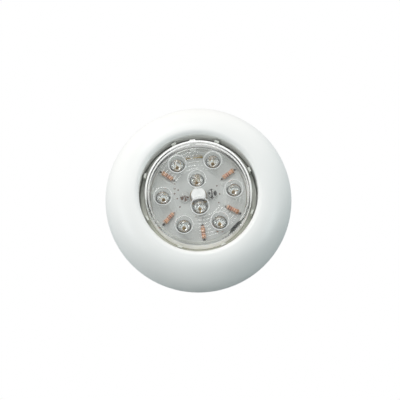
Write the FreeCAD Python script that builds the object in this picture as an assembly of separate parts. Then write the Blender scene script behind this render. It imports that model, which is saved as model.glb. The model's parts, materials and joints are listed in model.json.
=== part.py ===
import FreeCAD, Part
import math
import os

# Underwater pool light that screws into a 1.5 inch wall fitting.
#
# Millimetres. The optical axis is Y, the lamp faces -Y and +Z is up. The origin is on the
# optical axis in the plane of the pool wall, where the flange seats.
#
# Every round part is described by r, the distance from the optical axis, and w, the distance
# in front of the pool wall. w is therefore -y: the lens is at positive w and the cable gland,
# inside the wall, at negative w. A turn is an angle in degrees about the optical axis, from +X
# towards +Z, so it grows anticlockwise for somebody who looks at the lens.

os.makedirs("parts", exist_ok=True)

Vector = FreeCAD.Vector
CENTRE = Vector(0, 0, 0)
FORWARD = Vector(0, -1, 0)

# ---------------------------------------------------------------- driving dimensions

# Clearances between pieces that move against each other, and between a piece and its seat.
turning_gap = 0.3
axial_gap = 0.2
seat_gap = 0.05

# Trim ring: an elliptical dome between its opening and its outer edge.
bezel_outer_r = 48.0
bezel_opening_r = 30.2
bezel_lip = 2.4
bezel_shell = 2.4
bezel_back_w = 0.5
bezel_equator_w = 4.0
bezel_crest_w = 26.5
bezel_inner_wall_back_w = 7.5
bezel_rib_count = 8
bezel_rib_thickness = 1.6
pry_notch_width = 12.0
pry_notch_w = 2.8

# Lamp body: flange, cup that carries the seal and the board, threaded stem behind it.
flange_r = 43.6
flange_plate_w = 2.6
flange_rim_w = 5.2
flange_rim_inner_r = 40.2
grip_ring_cord_r = 1.4
gasket_inner_r = 26.0
gasket_outer_r = 31.0
gasket_thickness = 1.5
cup_outer_r = 27.0
cup_top_w = 8.7
pedestal_outer_r = 25.7
pedestal_inner_r = 23.5
pedestal_rim_inner_r = 24.95
pedestal_rim_w = 13.8
bulkhead_front_w = 7.2
bulkhead_back_w = 5.2
neck_r = 24.2
neck_length = 6.0
thread_crest_r = 24.1
thread_depth = 1.5
thread_pitch = 25.4 / 11.5
thread_turns = 9
stem_r = thread_crest_r - thread_depth
stem_end_w = -44.0
chamber_r = 20.4
stem_bore_r = 18.6
stem_bore_depth = 8.0

# Bayonet between the lamp body and the lens ring.
bayonet_count = 4
bayonet_span = 36.0
bayonet_turn = 26.0
body_lug_r = 28.4
body_lug_back_w = 5.4
body_lug_front_w = 6.7
body_lug_slope = 0.8
bayonet_stop_span = 4.0

# Lens and the ring that holds it down.
lens_r = 27.2
lens_wall = 1.2
lens_face_w = 25.0
lens_inner_face_w = 22.9
lens_edge_radius = 1.1
lens_flange_r = 28.4
lens_flange_thickness = 1.6
lens_seal_cord_r = 0.6
lens_seal_r = 26.35
bullseye_r = 4.2
bullseye_rise = 0.35
bullseye_bead_r = 0.4
bullseye_pad = 0.2
optic_ring_first_r = 12.65
optic_ring_pitch = 1.72
optic_ring_count = 7
optic_ring_width = 0.7
optic_ring_depth = 0.06
optic_flute_count = 72
optic_flute_depth = 0.15
flute_start_w = 15.9

ring_inner_r = 27.5
ring_outer_r = bezel_opening_r - turning_gap - seat_gap
ring_skirt = 1.1
ring_plate_w = 1.6
ring_back_w = 3.4
grip_lug_count = 8
grip_lug_span = 4.6
grip_lug_rise = 8.6

# Light engine.
board_r = 24.5
board_thickness = 1.6
board_front_w = 14.0
board_hole_r = 4.15
board_flat_reach = 24.0
board_flat_width = 12.0
board_flat_turn = 322.0
ledge_slot_span = 18.0
key_turns = (96.4, 276.4)
key_width = 2.2
key_inner_r = 24.0
key_outer_r = 25.2
key_gap = 0.2
hook_width = 3.0
hook_inner_r = 23.5
hook_height = 1.0
post_r = 3.75
post_shoulder_r = 4.9
post_spigot_r = 2.4
post_top_w = 18.8
lead_r = 0.28
lead_hole_r = 0.42
lead_tail = 0.9

led_ring_r = 18.2
led_ring_turn = 6.4
led_ring_count = 6
led_inner_r = 7.1
led_body_r = 2.5
led_flange_r = 2.9
led_flange_height = 1.0
led_height = 8.6
pilot_led_body_r = 2.4
pilot_led_height = 4.9
lead_spacing = 2.54

resistor_turns = (36.9, 146.9, 217.7, 277.6, 338.0)
resistor_tilts = (0.0, 0.0, 11.0, 0.0, -4.0)
resistor_ring_r = 19.1
resistor_length = 6.5
resistor_end_r = 1.22
resistor_waist_r = 1.02
resistor_cap_length = 1.5
resistor_lead_reach = 0.7
resistor_lead_bend = 0.5
jumper_ring_r = 20.0
jumper_turn = 98.2
jumper_pitch = 5.0
jumper_spans = (2.8, 4.6)
jumper_wire_r = 0.4

# Rectifier board and what it carries, inside the stem.
power_board_r = 19.8
power_board_front_w = -1.0
boss_ring_r = 15.0
boss_turns = (90.0, 210.0, 330.0)
boss_r = 2.8
boss_hole_r = 1.0
board_screw_head_r = 2.3
board_screw_r = 0.95
board_screw_length = 5.5
board_screw_hole_r = 1.3
feed_turn = 270.0
feed_r = 11.0
feed_wire_r = 0.8
feed_wire_spacing = 2.4
grommet_r = 3.2
terminal_at = (-9.0, 4.0)
terminal_size = (8.0, 10.2, 10.0)
terminal_screw_offset = -1.2
terminal_well_r = 1.9
terminal_well_depth = 3.5
terminal_mouth_offset = 2.2
terminal_mouth_r = 1.0
terminal_mouth_depth = 7.5
capacitor_at = (9.5, 5.0)
capacitor_r = 5.0
capacitor_length = 11.0
rectifier_at = (1.5, -6.5)
rectifier_r = 4.5
rectifier_height = 5.6

# Rear cap and cable gland.
cap_thickness = 4.0
cap_spigot_r = 18.3
cap_spigot_inner_r = 15.0
cap_spigot_length = 6.0
cap_seal_cord_r = 1.0
cap_screw_ring_r = 20.6
cap_screw_turns = (45.0, 135.0, 225.0, 315.0)
cap_screw_r = 0.85
cap_screw_length = 9.5
cap_screw_head_r = 2.0
screw_recess = 0.9
gland_thread_r = 8.0
gland_bore_r = 4.2
gland_hex = 20.0
gland_hex_height = 3.6
gland_gasket_thickness = 0.9
gland_tail_length = 9.5
gland_inner_length = 4.0
gland_thread_chamfer = 0.6
locknut_thickness = 3.0
gland_seal_r = 6.1
gland_pocket_r = 6.2
gland_seal_length = 7.8
cable_r = 3.5
gland_nut_bore_r = 8.3
gland_washer_thickness = 0.8
gland_nut_dome = 3.2
gland_nut_gap = 0.8
gland_nut_corner = 1.5

# ---------------------------------------------------------------- worked-out dimensions

bezel_crest_r = bezel_opening_r + bezel_lip
dome_width = bezel_outer_r - bezel_crest_r
dome_height = bezel_crest_w - bezel_equator_w
grip_ring_r = flange_r - grip_ring_cord_r + 0.4
skirt_bore_r = grip_ring_r + grip_ring_cord_r + turning_gap
lens_seal_w = cup_top_w + seat_gap + lens_seal_cord_r
lens_flange_back_w = lens_seal_w + lens_seal_cord_r + seat_gap
lens_flange_front_w = lens_flange_back_w + lens_flange_thickness
lens_inner_r = lens_r - lens_wall
ring_top_w = lens_flange_front_w + axial_gap + ring_plate_w
ring_skirt_inner_r = ring_outer_r - ring_skirt
board_back_w = board_front_w - board_thickness
led_base_w = board_front_w + seat_gap
power_board_back_w = power_board_front_w - board_thickness
cap_back_w = stem_end_w - cap_thickness
gland_flange_w = cap_back_w - gland_gasket_thickness
gland_tail_w = gland_flange_w - gland_hex_height
gland_end_w = gland_tail_w - gland_tail_length
gland_washer_w = gland_end_w - axial_gap
gland_nut_shoulder_w = gland_washer_w - gland_washer_thickness - axial_gap

led_places = [(led_ring_r, led_ring_turn + 360.0 / led_ring_count * i) for i in range(led_ring_count)]
led_places += [(led_inner_r, led_ring_turn + 90.0), (led_inner_r, led_ring_turn + 270.0)]
pilot_places = [(led_inner_r, led_ring_turn), (led_inner_r, led_ring_turn + 180.0)]


# ---------------------------------------------------------------- helpers

def spot(r, turn, w):
    """The point at radius r, angle turn and distance w in front of the wall."""
    angle = math.radians(turn)
    return Vector(r * math.cos(angle), -w, r * math.sin(angle))


def arc(r, w, radius, start, end):
    """A round stretch of an outline about (r, w): 0 degrees is outward, 90 is forward."""
    def on(degrees):
        angle = math.radians(degrees)
        return Vector(r + radius * math.cos(angle), -(w + radius * math.sin(angle)), 0)
    return Part.Arc(on(start), on((start + end) / 2), on(end)).toShape()


def dome_arc(width, height, start, end):
    """A stretch of the trim ring's elliptical dome, from start to end degrees above its equator."""
    middle = Vector(bezel_crest_r, -bezel_equator_w, 0)
    ellipse = Part.Ellipse(middle + Vector(0, -height, 0), middle + Vector(width, 0, 0), middle)
    return Part.ArcOfEllipse(ellipse, math.radians(90 - end), math.radians(90 - start)).toShape()


def outline(*pieces):
    """A closed face in the r, w half plane from (r, w) points and curved edges, in order."""
    def ends(piece):
        if isinstance(piece, tuple):
            corner = Vector(piece[0], -piece[1], 0)
            return [corner, corner]
        return [piece.Vertexes[0].Point, piece.Vertexes[-1].Point]

    edges = []
    spans = [ends(piece) for piece in pieces]
    for index, piece in enumerate(pieces):
        before = spans[index - 1][1]
        first, last = spans[index]
        if not isinstance(piece, tuple) and (last - before).Length < (first - before).Length:
            spans[index] = [last, first]
    for index, piece in enumerate(pieces):
        if not isinstance(piece, tuple):
            edges.append(piece)
        start = spans[index][1]
        end = spans[(index + 1) % len(pieces)][0]
        if (end - start).Length > 1e-6:
            edges.append(Part.makeLine(start, end))
    return Part.Face(Part.Wire(edges))


def swung(shape, turn):
    """A copy of the shape turned about the optical axis."""
    copy = shape.copy()
    copy.rotate(CENTRE, FORWARD, turn)
    return copy


def turned(*pieces, start=0.0, span=360.0):
    """The solid that an outline sweeps about the optical axis."""
    return swung(outline(*pieces).revolve(CENTRE, FORWARD, span), start)


def rod(radius, back_w, front_w, x=0.0, z=0.0):
    """A cylinder along the optical axis direction, centred on (x, z)."""
    return Part.makeCylinder(radius, front_w - back_w, Vector(x, -back_w, z), FORWARD)


def rod_at(radius, back_w, front_w, r, turn):
    """A cylinder along the optical axis direction, centred at radius r and angle turn."""
    middle = spot(r, turn, 0)
    return rod(radius, back_w, front_w, middle.x, middle.z)


def pipe(outer_r, inner_r, back_w, front_w):
    """A plain ring about the optical axis."""
    return rod(outer_r, back_w, front_w).cut(rod(inner_r, back_w - 1, front_w + 1))


def cord_ring(r, w, cord_r):
    """A ring of round section, such as an O-ring."""
    return Part.makeTorus(r, cord_r, Vector(0, -w, 0), FORWARD)


def spoke(inner_r, outer_r, width, back_w, front_w, turn):
    """A block that runs radially, centred on the angle turn."""
    block = Part.makeBox(outer_r - inner_r, front_w - back_w, width,
                         Vector(inner_r, -front_w, -width / 2))
    return swung(block, turn)


def hexagon(across_flats, back_w, front_w):
    """A hexagonal block about the optical axis."""
    corner_r = across_flats / math.sqrt(3)
    corners = [spot(corner_r, 60.0 * i, back_w) for i in range(7)]
    return Part.Face(Part.makePolygon(corners)).extrude(Vector(0, back_w - front_w, 0))


def joined(shape, others):
    """The shape fused with every other one, with no seams left between them."""
    others = list(others)
    return shape.fuse(others).removeSplitter() if others else shape


def without(shape, others):
    """The shape with every other one cut out of it."""
    return shape.cut(Part.makeCompound(list(others)))


def save(name, *solids):
    """Write one node: one solid, or a group of identical separate solids."""
    flat = [solid for shape in solids for solid in shape.Solids]
    shape = flat[0] if len(flat) == 1 else Part.makeCompound(flat)
    shape.exportStep("parts/" + name + ".step")
    good = all(solid.isValid() and solid.isClosed() for solid in flat)
    print("%-20s %3d solid(s) %10.1f mm3 %s" % (name, len(flat), shape.Volume, "ok" if good else "BAD"))


def screw(head_r, head_height, shank_r, shank_length, recess_w):
    """A pan-head screw along w, its head's seat at w = 0 and its shank towards +w."""
    head = turned((0, 0), (head_r, 0), (head_r, -head_height * 0.55),
                  (head_r * 0.72, -head_height), (0, -head_height))
    blank = head.fuse(rod(shank_r, -0.01, shank_length))
    arms = [spoke(-head_r * 0.55, head_r * 0.55, head_r * 0.24, -head_height - 1,
                  -head_height + recess_w, turn) for turn in (0, 90)]
    return without(blank, arms)


def moved(shape, x, z, w):
    """A copy of the shape moved to (x, z) and forward by w."""
    copy = shape.copy()
    copy.translate(Vector(x, -w, z))
    return copy


# ---------------------------------------------------------------- housing

def bezel():
    """Trim ring: domed shell, stiffening ribs that stop on the flange, notch to pry it off."""
    inner_width = dome_width - bezel_shell
    inner_height = dome_height - bezel_shell
    join = math.degrees(math.acos((skirt_bore_r - bezel_crest_r) / inner_width))
    edge_drop = bezel_equator_w - bezel_back_w
    edge_radius = 5.0
    edge_angle = math.degrees(math.asin(edge_drop / edge_radius))
    shell = turned(
        (bezel_opening_r, bezel_inner_wall_back_w),
        arc(bezel_crest_r, bezel_crest_w - bezel_lip, bezel_lip, 180, 90),
        dome_arc(dome_width, dome_height, 0, 90),
        arc(bezel_outer_r - edge_radius, bezel_equator_w, edge_radius, 0, -edge_angle),
        (skirt_bore_r, bezel_back_w),
        dome_arc(inner_width, inner_height, join, 90),
        (bezel_crest_r, bezel_inner_wall_back_w))
    stop_w = flange_rim_w + axial_gap
    hollow = turned(
        (bezel_crest_r - 0.5, stop_w),
        (skirt_bore_r + 0.5, stop_w),
        (skirt_bore_r + 0.5, bezel_equator_w + inner_height * math.sin(math.radians(join))),
        (bezel_crest_r + inner_width * 0.72, bezel_equator_w + inner_height * 0.72),
        (bezel_crest_r + 1.0, bezel_crest_w - bezel_shell + 0.5),
        (bezel_crest_r - 0.5, bezel_crest_w - bezel_shell))
    ribs = [spoke(bezel_crest_r - 0.5, skirt_bore_r + 0.5, bezel_rib_thickness, stop_w,
                  bezel_crest_w, (i + 0.5) * 360.0 / bezel_rib_count).common(hollow)
            for i in range(bezel_rib_count)]
    notch = Part.makeBox(pry_notch_width, pry_notch_w + 1, 6,
                         Vector(-pry_notch_width / 2, -pry_notch_w, -bezel_outer_r - 1))
    return joined(shell, ribs).cut(notch)


def stem_thread():
    """The stem's right-hand pipe thread, with a lead-in cone at its rear end."""
    root_r = thread_crest_r - thread_depth
    length = thread_turns * thread_pitch
    start_w = -neck_length - length + thread_pitch / 2
    root_half = thread_pitch * 0.42
    crest_half = thread_pitch * 0.09
    sink = 0.4
    corners = [(root_r - sink, -root_half), (root_r, -root_half), (thread_crest_r, -crest_half),
               (thread_crest_r, crest_half), (root_r, root_half), (root_r - sink, root_half)]
    points = [Vector(r, 0, z) for r, z in corners]
    section = Part.Wire(Part.makePolygon(points + points[:1]).Edges)
    helix = Part.Wire(Part.makeLongHelix(thread_pitch, length, root_r).Edges)
    sweep = Part.BRepOffsetAPI.MakePipeShell(helix)
    sweep.setFrenetMode(True)
    sweep.add(section, False, False)
    sweep.build()
    sweep.makeSolid()
    thread = sweep.shape()
    thread.rotate(CENTRE, Vector(1, 0, 0), 90)
    thread.translate(Vector(0, -start_w, 0))
    lead_in = turned(
        (root_r - sink - 1, start_w - 0.2),
        (root_r, start_w - 0.2),
        (thread_crest_r + 0.3, start_w + 2.0),
        (thread_crest_r + 0.3, -neck_length + 0.5),
        (root_r - sink - 1, -neck_length + 0.5))
    return thread.common(lead_in)


def body_keys():
    """Ribs on the pedestal that locate the board, with a hook over its edge."""
    keys = []
    for turn in key_turns:
        keys.append(spoke(key_inner_r, key_outer_r, key_width,
                          bulkhead_front_w - 0.5, board_front_w + hook_height, turn))
        keys.append(spoke(hook_inner_r, key_outer_r, hook_width,
                          board_front_w + seat_gap, board_front_w + hook_height, turn))
    return keys


def body_lugs():
    """Bayonet lugs around the cup, each with a stop beside it."""
    lugs = []
    for i in range(bayonet_count):
        start = bayonet_turn - bayonet_span / 2 + i * 360.0 / bayonet_count
        lugs.append(turned((cup_outer_r - 0.5, body_lug_back_w), (body_lug_r, body_lug_back_w),
                           (body_lug_r, body_lug_front_w),
                           (cup_outer_r - 0.5, body_lug_front_w + body_lug_slope),
                           start=start - bayonet_stop_span - 1, span=bayonet_span + bayonet_stop_span + 1))
        lugs.append(turned((cup_outer_r - 0.5, ring_back_w + 0.2), (body_lug_r, ring_back_w + 0.2),
                           (body_lug_r, body_lug_back_w + 0.5), (cup_outer_r - 0.5, body_lug_back_w + 0.5),
                           start=start - bayonet_stop_span - 1, span=bayonet_stop_span))
    return lugs


def lamp_body():
    """Flange, seal shelf, board pedestal, bulkhead and threaded stem, moulded as one piece.

    The pedestal's ledge is cut through under the flat of the board, where trapped air bleeds out.
    """
    chamfer = 0.5
    fillet = 0.6
    rim_round = 0.25
    shell = turned(
        (stem_bore_r, stem_end_w),
        (stem_r - chamfer, stem_end_w),
        (stem_r, stem_end_w + chamfer),
        (stem_r, -neck_length),
        (neck_r, -neck_length),
        (neck_r, 0),
        (gasket_inner_r, 0),
        (gasket_inner_r, gasket_thickness),
        (gasket_outer_r, gasket_thickness),
        (gasket_outer_r, 0),
        (flange_r - chamfer, 0),
        (flange_r, chamfer),
        (flange_r, flange_rim_w - chamfer),
        (flange_r - chamfer, flange_rim_w),
        (flange_rim_inner_r, flange_rim_w),
        (flange_rim_inner_r, flange_plate_w),
        arc(cup_outer_r + fillet, flange_plate_w + fillet, fillet, -90, -180),
        (cup_outer_r, cup_top_w),
        (pedestal_outer_r, cup_top_w),
        (pedestal_outer_r, pedestal_rim_w - rim_round),
        (pedestal_outer_r - rim_round, pedestal_rim_w),
        (pedestal_rim_inner_r, pedestal_rim_w),
        (pedestal_rim_inner_r, board_back_w),
        (pedestal_inner_r, board_back_w),
        (pedestal_inner_r, bulkhead_front_w),
        (0, bulkhead_front_w),
        (0, bulkhead_back_w),
        (chamber_r, bulkhead_back_w),
        (chamber_r, stem_end_w + stem_bore_depth),
        (stem_bore_r, stem_end_w + stem_bore_depth))
    bosses = [rod_at(boss_r, power_board_front_w, bulkhead_back_w + 0.5, boss_ring_r, turn)
              for turn in boss_turns]
    holes = [rod_at(boss_hole_r, power_board_front_w - 1, bulkhead_back_w - 0.5, boss_ring_r, turn)
             for turn in boss_turns]
    holes += [rod_at(cap_screw_r + seat_gap, stem_end_w - 1, stem_end_w + stem_bore_depth - 0.5,
                     cap_screw_ring_r, turn) for turn in cap_screw_turns]
    holes += [rod_at(grommet_r, bulkhead_back_w - 1, bulkhead_front_w + 1, feed_r, feed_turn),
              rod(post_spigot_r + seat_gap, bulkhead_back_w - 1, bulkhead_front_w + 1),
              cord_ring(grip_ring_r, flange_rim_w / 2, grip_ring_cord_r + seat_gap)]
    slot_inner_r = pedestal_inner_r - 0.5
    slot_top_w = board_back_w + 0.5
    holes += [turned((slot_inner_r, bulkhead_front_w), (pedestal_rim_inner_r, bulkhead_front_w),
                     (pedestal_rim_inner_r, slot_top_w), (slot_inner_r, slot_top_w),
                     start=board_flat_turn - ledge_slot_span / 2, span=ledge_slot_span)]
    return without(joined(shell, body_keys() + body_lugs() + bosses + [stem_thread()]), holes)


def bezel_grip_ring():
    """Rubber cord in the flange rim: the trim ring pushes on over it."""
    return cord_ring(grip_ring_r, flange_rim_w / 2, grip_ring_cord_r)


def seat_gasket():
    """Flat gasket between the flange and the wall fitting."""
    return pipe(gasket_outer_r - seat_gap, gasket_inner_r + seat_gap, 0, gasket_thickness - seat_gap)


# ---------------------------------------------------------------- lens and its ring

def optic_rings():
    """Shallow prism rings of the lens's inner face, from the outermost inwards."""
    corners = []
    for i in reversed(range(optic_ring_count)):
        r = optic_ring_first_r + i * optic_ring_pitch
        corners += [(r + optic_ring_width / 2, lens_inner_face_w),
                    (r, lens_inner_face_w + optic_ring_depth),
                    (r - optic_ring_width / 2, lens_inner_face_w)]
    return corners


def fluted_core():
    """The space inside the lens wall, its side finely fluted to spread the light."""
    front_w = lens_inner_face_w - 0.4
    back_w = flute_start_w
    step = 360.0 / optic_flute_count
    rim = []
    for i in range(optic_flute_count):
        rim += [spot(lens_inner_r - optic_flute_depth, i * step, back_w),
                spot(lens_inner_r, (i + 0.5) * step, back_w)]
    face = Part.Face(Part.makePolygon(rim + rim[:1]))
    return face.extrude(Vector(0, back_w - front_w, 0))


def bullseye(r, turn):
    """A low dome on the lens over one diode, with a round bead about it and a pad behind it."""
    ball_r = (bullseye_r ** 2 + bullseye_rise ** 2) / (2 * bullseye_rise)
    outer_r = bullseye_r + 2 * bullseye_bead_r
    dome = Part.makeSphere(ball_r, spot(r, turn, lens_face_w + bullseye_rise - ball_r)).common(
        rod_at(outer_r, lens_face_w - 0.3, lens_face_w + bullseye_rise + 1, r, turn))
    bead = Part.makeTorus(bullseye_r + bullseye_bead_r, bullseye_bead_r, spot(r, turn, lens_face_w), FORWARD)
    pad = rod_at(outer_r, lens_inner_face_w - bullseye_pad, lens_inner_face_w + 0.6, r, turn)
    return [dome, bead, pad]


def lens():
    """Clear cover: flat face with a bullseye over each diode, side wall and clamping flange."""
    inner_radius = 0.8
    shell = turned(
        (0, lens_face_w),
        arc(lens_r - lens_edge_radius, lens_face_w - lens_edge_radius, lens_edge_radius, 90, 0),
        (lens_r, lens_flange_front_w),
        (lens_flange_r, lens_flange_front_w),
        (lens_flange_r, lens_flange_back_w),
        (lens_inner_r, lens_flange_back_w),
        (lens_inner_r, flute_start_w),
        (lens_inner_r - optic_flute_depth, flute_start_w),
        (lens_inner_r - optic_flute_depth, lens_inner_face_w - inner_radius),
        (lens_inner_r - optic_flute_depth - inner_radius, lens_inner_face_w),
        *optic_rings(),
        (0, lens_inner_face_w))
    lumps = [lump for place in led_places for lump in bullseye(*place)]
    return joined(shell, lumps).cut(flute_cutter())


def flute_cutter():
    """What the flutes take away from the lens's side wall."""
    front_w = lens_inner_face_w - 0.8
    back_w = flute_start_w
    blank = fluted_core()
    return blank.common(pipe(lens_inner_r + 1, lens_inner_r - optic_flute_depth - 0.01, back_w - 1, front_w))


def lens_seal():
    """O-ring between the cup and the lens flange."""
    return cord_ring(lens_seal_r, lens_seal_w, lens_seal_cord_r)


def lens_ring():
    """Bayonet ring that clamps the lens, with grip lugs on its front and hooks inside."""
    chamfer = 0.4
    plate_back_w = ring_top_w - ring_plate_w
    shell = turned(
        (ring_inner_r, plate_back_w),
        (ring_inner_r, ring_top_w - chamfer),
        (ring_inner_r + chamfer, ring_top_w),
        (ring_outer_r - chamfer, ring_top_w),
        (ring_outer_r, ring_top_w - chamfer),
        (ring_outer_r, ring_back_w),
        (ring_skirt_inner_r, ring_back_w),
        (ring_skirt_inner_r, plate_back_w))
    lumps = []
    for i in range(grip_lug_count):
        lumps.append(turned((ring_inner_r + 0.5, ring_top_w - 0.5),
                            (ring_outer_r - 0.5, ring_top_w - 0.5),
                            (ring_outer_r - 0.6, ring_top_w + grip_lug_rise),
                            (ring_inner_r + 0.8, ring_top_w + grip_lug_rise),
                            start=bayonet_turn - grip_lug_span / 2 + i * 360.0 / grip_lug_count,
                            span=grip_lug_span))
    hook_back_w = ring_back_w + 0.2
    for i in range(bayonet_count):
        lumps.append(turned((cup_outer_r + turning_gap, hook_back_w),
                            (ring_skirt_inner_r + 0.3, hook_back_w),
                            (ring_skirt_inner_r + 0.3, body_lug_back_w - axial_gap),
                            (cup_outer_r + turning_gap, body_lug_back_w - axial_gap),
                            start=bayonet_turn - bayonet_span / 2 + i * 360.0 / bayonet_count,
                            span=bayonet_span))
    return joined(shell, lumps)


# ---------------------------------------------------------------- light engine

def lead_offsets(turn):
    """Centres of a diode's two lead holes, relative to the diode, in x and z."""
    half = spot(lead_spacing / 2, turn, 0)
    return [(half.x, half.z), (-half.x, -half.z)]


def led_hole_centres():
    """Every diode lead's place in the board, in x and z."""
    centres = []
    for r, turn in led_places + pilot_places:
        middle = spot(r, turn, 0)
        centres += [(middle.x + x, middle.z + z) for x, z in lead_offsets(turn)]
    return centres


def resistor_reach():
    """Distance from a resistor's middle to the leg of its lead."""
    return resistor_length / 2 + resistor_lead_reach


def placed_resistor(shape, turn, tilt):
    """A resistor part, drawn along X at the origin, moved to its place on the board."""
    copy = shape.copy()
    copy.rotate(CENTRE, FORWARD, turn + tilt)
    copy.translate(spot(resistor_ring_r, turn, board_front_w + resistor_end_r + 0.15))
    return copy


def resistor_body():
    """A carbon-film resistor's lacquered body along X: two round caps and a waist."""
    half = resistor_length / 2
    neck = half - resistor_cap_length
    corner = 0.5
    points = [(-half, 0), (-half, resistor_end_r - corner), (-half + corner, resistor_end_r),
              (-neck - corner, resistor_end_r), (-neck, resistor_waist_r), (neck, resistor_waist_r),
              (neck + corner, resistor_end_r), (half - corner, resistor_end_r),
              (half, resistor_end_r - corner), (half, 0), (-half, 0)]
    face = Part.Face(Part.makePolygon([Vector(x, 0, r) for x, r in points]))
    return face.revolve(CENTRE, Vector(1, 0, 0), 360)


def resistor_lead(side):
    """One bent lead: out of the resistor's end, round a bend and down through the board."""
    start = Vector(side * resistor_length / 2, 0, 0)
    reach = side * resistor_reach()
    bend = resistor_lead_bend
    depth = resistor_end_r + 0.15 + board_thickness + lead_tail
    corner = Vector(reach - side * bend, bend, 0)
    bend_start = Vector(reach - side * bend, 0, 0)
    bend_middle = corner + Vector(side * bend * math.sqrt(0.5), -bend * math.sqrt(0.5), 0)
    bend_end = Vector(reach, bend, 0)
    path = Part.Wire([Part.makeLine(start, bend_start),
                      Part.Arc(bend_start, bend_middle, bend_end).toShape(),
                      Part.makeLine(bend_end, Vector(reach, depth, 0))])
    section = Part.Wire([Part.makeCircle(lead_r, start, Vector(1, 0, 0))])
    return path.makePipeShell([section], True, False)


def resistor_hole_centres():
    """Every resistor lead's place in the board, in x and z."""
    centres = []
    for turn, tilt in zip(resistor_turns, resistor_tilts):
        middle = spot(resistor_ring_r, turn, 0)
        reach = spot(resistor_reach(), turn + tilt, 0)
        centres += [(middle.x + reach.x, middle.z + reach.z), (middle.x - reach.x, middle.z - reach.z)]
    return centres


def jumper_middles():
    """Middles of the two wire links at the top of the board, in x and z."""
    middle = spot(jumper_ring_r, jumper_turn, 0)
    along = spot(jumper_pitch / 2, jumper_turn - 90, 0)
    return [(middle.x - along.x, middle.z - along.z), (middle.x + along.x, middle.z + along.z)]


def jumper_hole_centres():
    """Ends of the wire links, in x and z."""
    along = spot(0.5, jumper_turn - 90, 0)
    return [(x + side * span * along.x, z + side * span * along.z)
            for (x, z), span in zip(jumper_middles(), jumper_spans) for side in (-1, 1)]


def feed_centres():
    """Centres of the two feed wires, in x and z."""
    middle = spot(feed_r, feed_turn, 0)
    half = feed_wire_spacing / 2
    return [(middle.x - half, middle.z), (middle.x + half, middle.z)]


def led_board():
    """Round circuit board with its centre hole, key notches, lead holes and a flat on its rim."""
    holes = [rod(lead_hole_r, board_back_w - 1, board_front_w + 1, x, z)
             for x, z in led_hole_centres() + resistor_hole_centres() + jumper_hole_centres()]
    holes += [rod(board_hole_r, board_back_w - 1, board_front_w + 1)]
    holes += [rod(feed_wire_r + seat_gap, board_back_w - 1, board_front_w + 1, x, z)
              for x, z in feed_centres()]
    holes += [spoke(key_inner_r - key_gap, board_r + 1, key_width + 2 * key_gap,
                    board_back_w - 1, board_front_w + 1, turn) for turn in key_turns]
    holes += [spoke(board_flat_reach, board_r + 1, board_flat_width,
                    board_back_w - 1, board_front_w + 1, board_flat_turn)]
    return without(rod(board_r, board_back_w, board_front_w), holes)


def center_post():
    """White post that carries the middle of the board and stands through its hole."""
    round_over = 0.6
    dimple_r = 1.6
    return turned(
        (0, bulkhead_back_w),
        (post_spigot_r, bulkhead_back_w),
        (post_spigot_r, bulkhead_front_w),
        (post_shoulder_r, bulkhead_front_w),
        (post_shoulder_r, board_back_w),
        (post_r, board_back_w),
        arc(post_r - round_over, post_top_w - round_over, round_over, 0, 90),
        (dimple_r, post_top_w),
        (0, post_top_w - 0.35))


def diode(body_r, height, flat_top):
    """A clear diode body along w, standing on w = 0: base flange, barrel and rounded tip."""
    if flat_top:
        tip = [arc(body_r - 1.4, height - 1.4, 1.4, 0, 90)]
    else:
        tip = [arc(0, height - body_r, body_r, 0, 90)]
    body = turned((0, 0), (led_flange_r, 0), (led_flange_r, led_flange_height),
                  (body_r, led_flange_height), *tip, *([(0, height)] if flat_top else []))
    flat = Part.makeBox(2, led_flange_height + 0.02, 8,
                        Vector(led_flange_r - 0.35, -led_flange_height - 0.01, -4))
    return body.cut(flat)


def led_leads():
    """Leads of every diode, from its base down through the board."""
    return [rod(lead_r, board_back_w - lead_tail, board_front_w, x, z)
            for x, z in led_hole_centres()]


def board_jumpers():
    """Two tinned wire links, each bent down into the board at both ends."""
    links = []
    for (x, z), span in zip(jumper_middles(), jumper_spans):
        bend = 0.5
        half = span / 2
        rise = board_front_w + jumper_wire_r + 0.1
        depth = rise - board_back_w + 0.3
        start = Vector(-half, depth, 0)
        root = math.sqrt(0.5) * bend
        path = Part.Wire([
            Part.makeLine(start, Vector(-half, bend, 0)),
            Part.Arc(Vector(-half, bend, 0), Vector(-half + bend - root, bend - root, 0),
                     Vector(-half + bend, 0, 0)).toShape(),
            Part.makeLine(Vector(-half + bend, 0, 0), Vector(half - bend, 0, 0)),
            Part.Arc(Vector(half - bend, 0, 0), Vector(half - bend + root, bend - root, 0),
                     Vector(half, bend, 0)).toShape(),
            Part.makeLine(Vector(half, bend, 0), Vector(half, depth, 0))])
        section = Part.Wire([Part.makeCircle(jumper_wire_r, start, Vector(0, 1, 0))])
        link = swung(path.makePipeShell([section], True, False), jumper_turn - 90)
        links.append(moved(link, x, z, rise))
    return links


# ---------------------------------------------------------------- inside the stem

def wire_grommet():
    """Rubber plug in the bulkhead that the two feed wires pass through."""
    lip = 0.7
    lip_r = grommet_r + 0.8
    groove_r = grommet_r - seat_gap
    back_w = bulkhead_back_w - seat_gap
    front_w = bulkhead_front_w + seat_gap
    middle = spot(feed_r, feed_turn, 0)
    plug = turned((0, bulkhead_back_w - lip), (lip_r, bulkhead_back_w - lip), (lip_r, back_w),
                  (groove_r, back_w), (groove_r, front_w), (lip_r, front_w),
                  (lip_r, bulkhead_front_w + lip), (0, bulkhead_front_w + lip))
    holes = [rod(feed_wire_r, bulkhead_back_w - 2, bulkhead_front_w + 2, x, z) for x, z in feed_centres()]
    return without(moved(plug, middle.x, middle.z, 0), holes)


def feed_wires():
    """Insulated wires from the rectifier board to the light board."""
    return [rod(feed_wire_r - seat_gap, power_board_back_w, board_front_w - 0.4, x, z)
            for x, z in feed_centres()]


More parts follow.
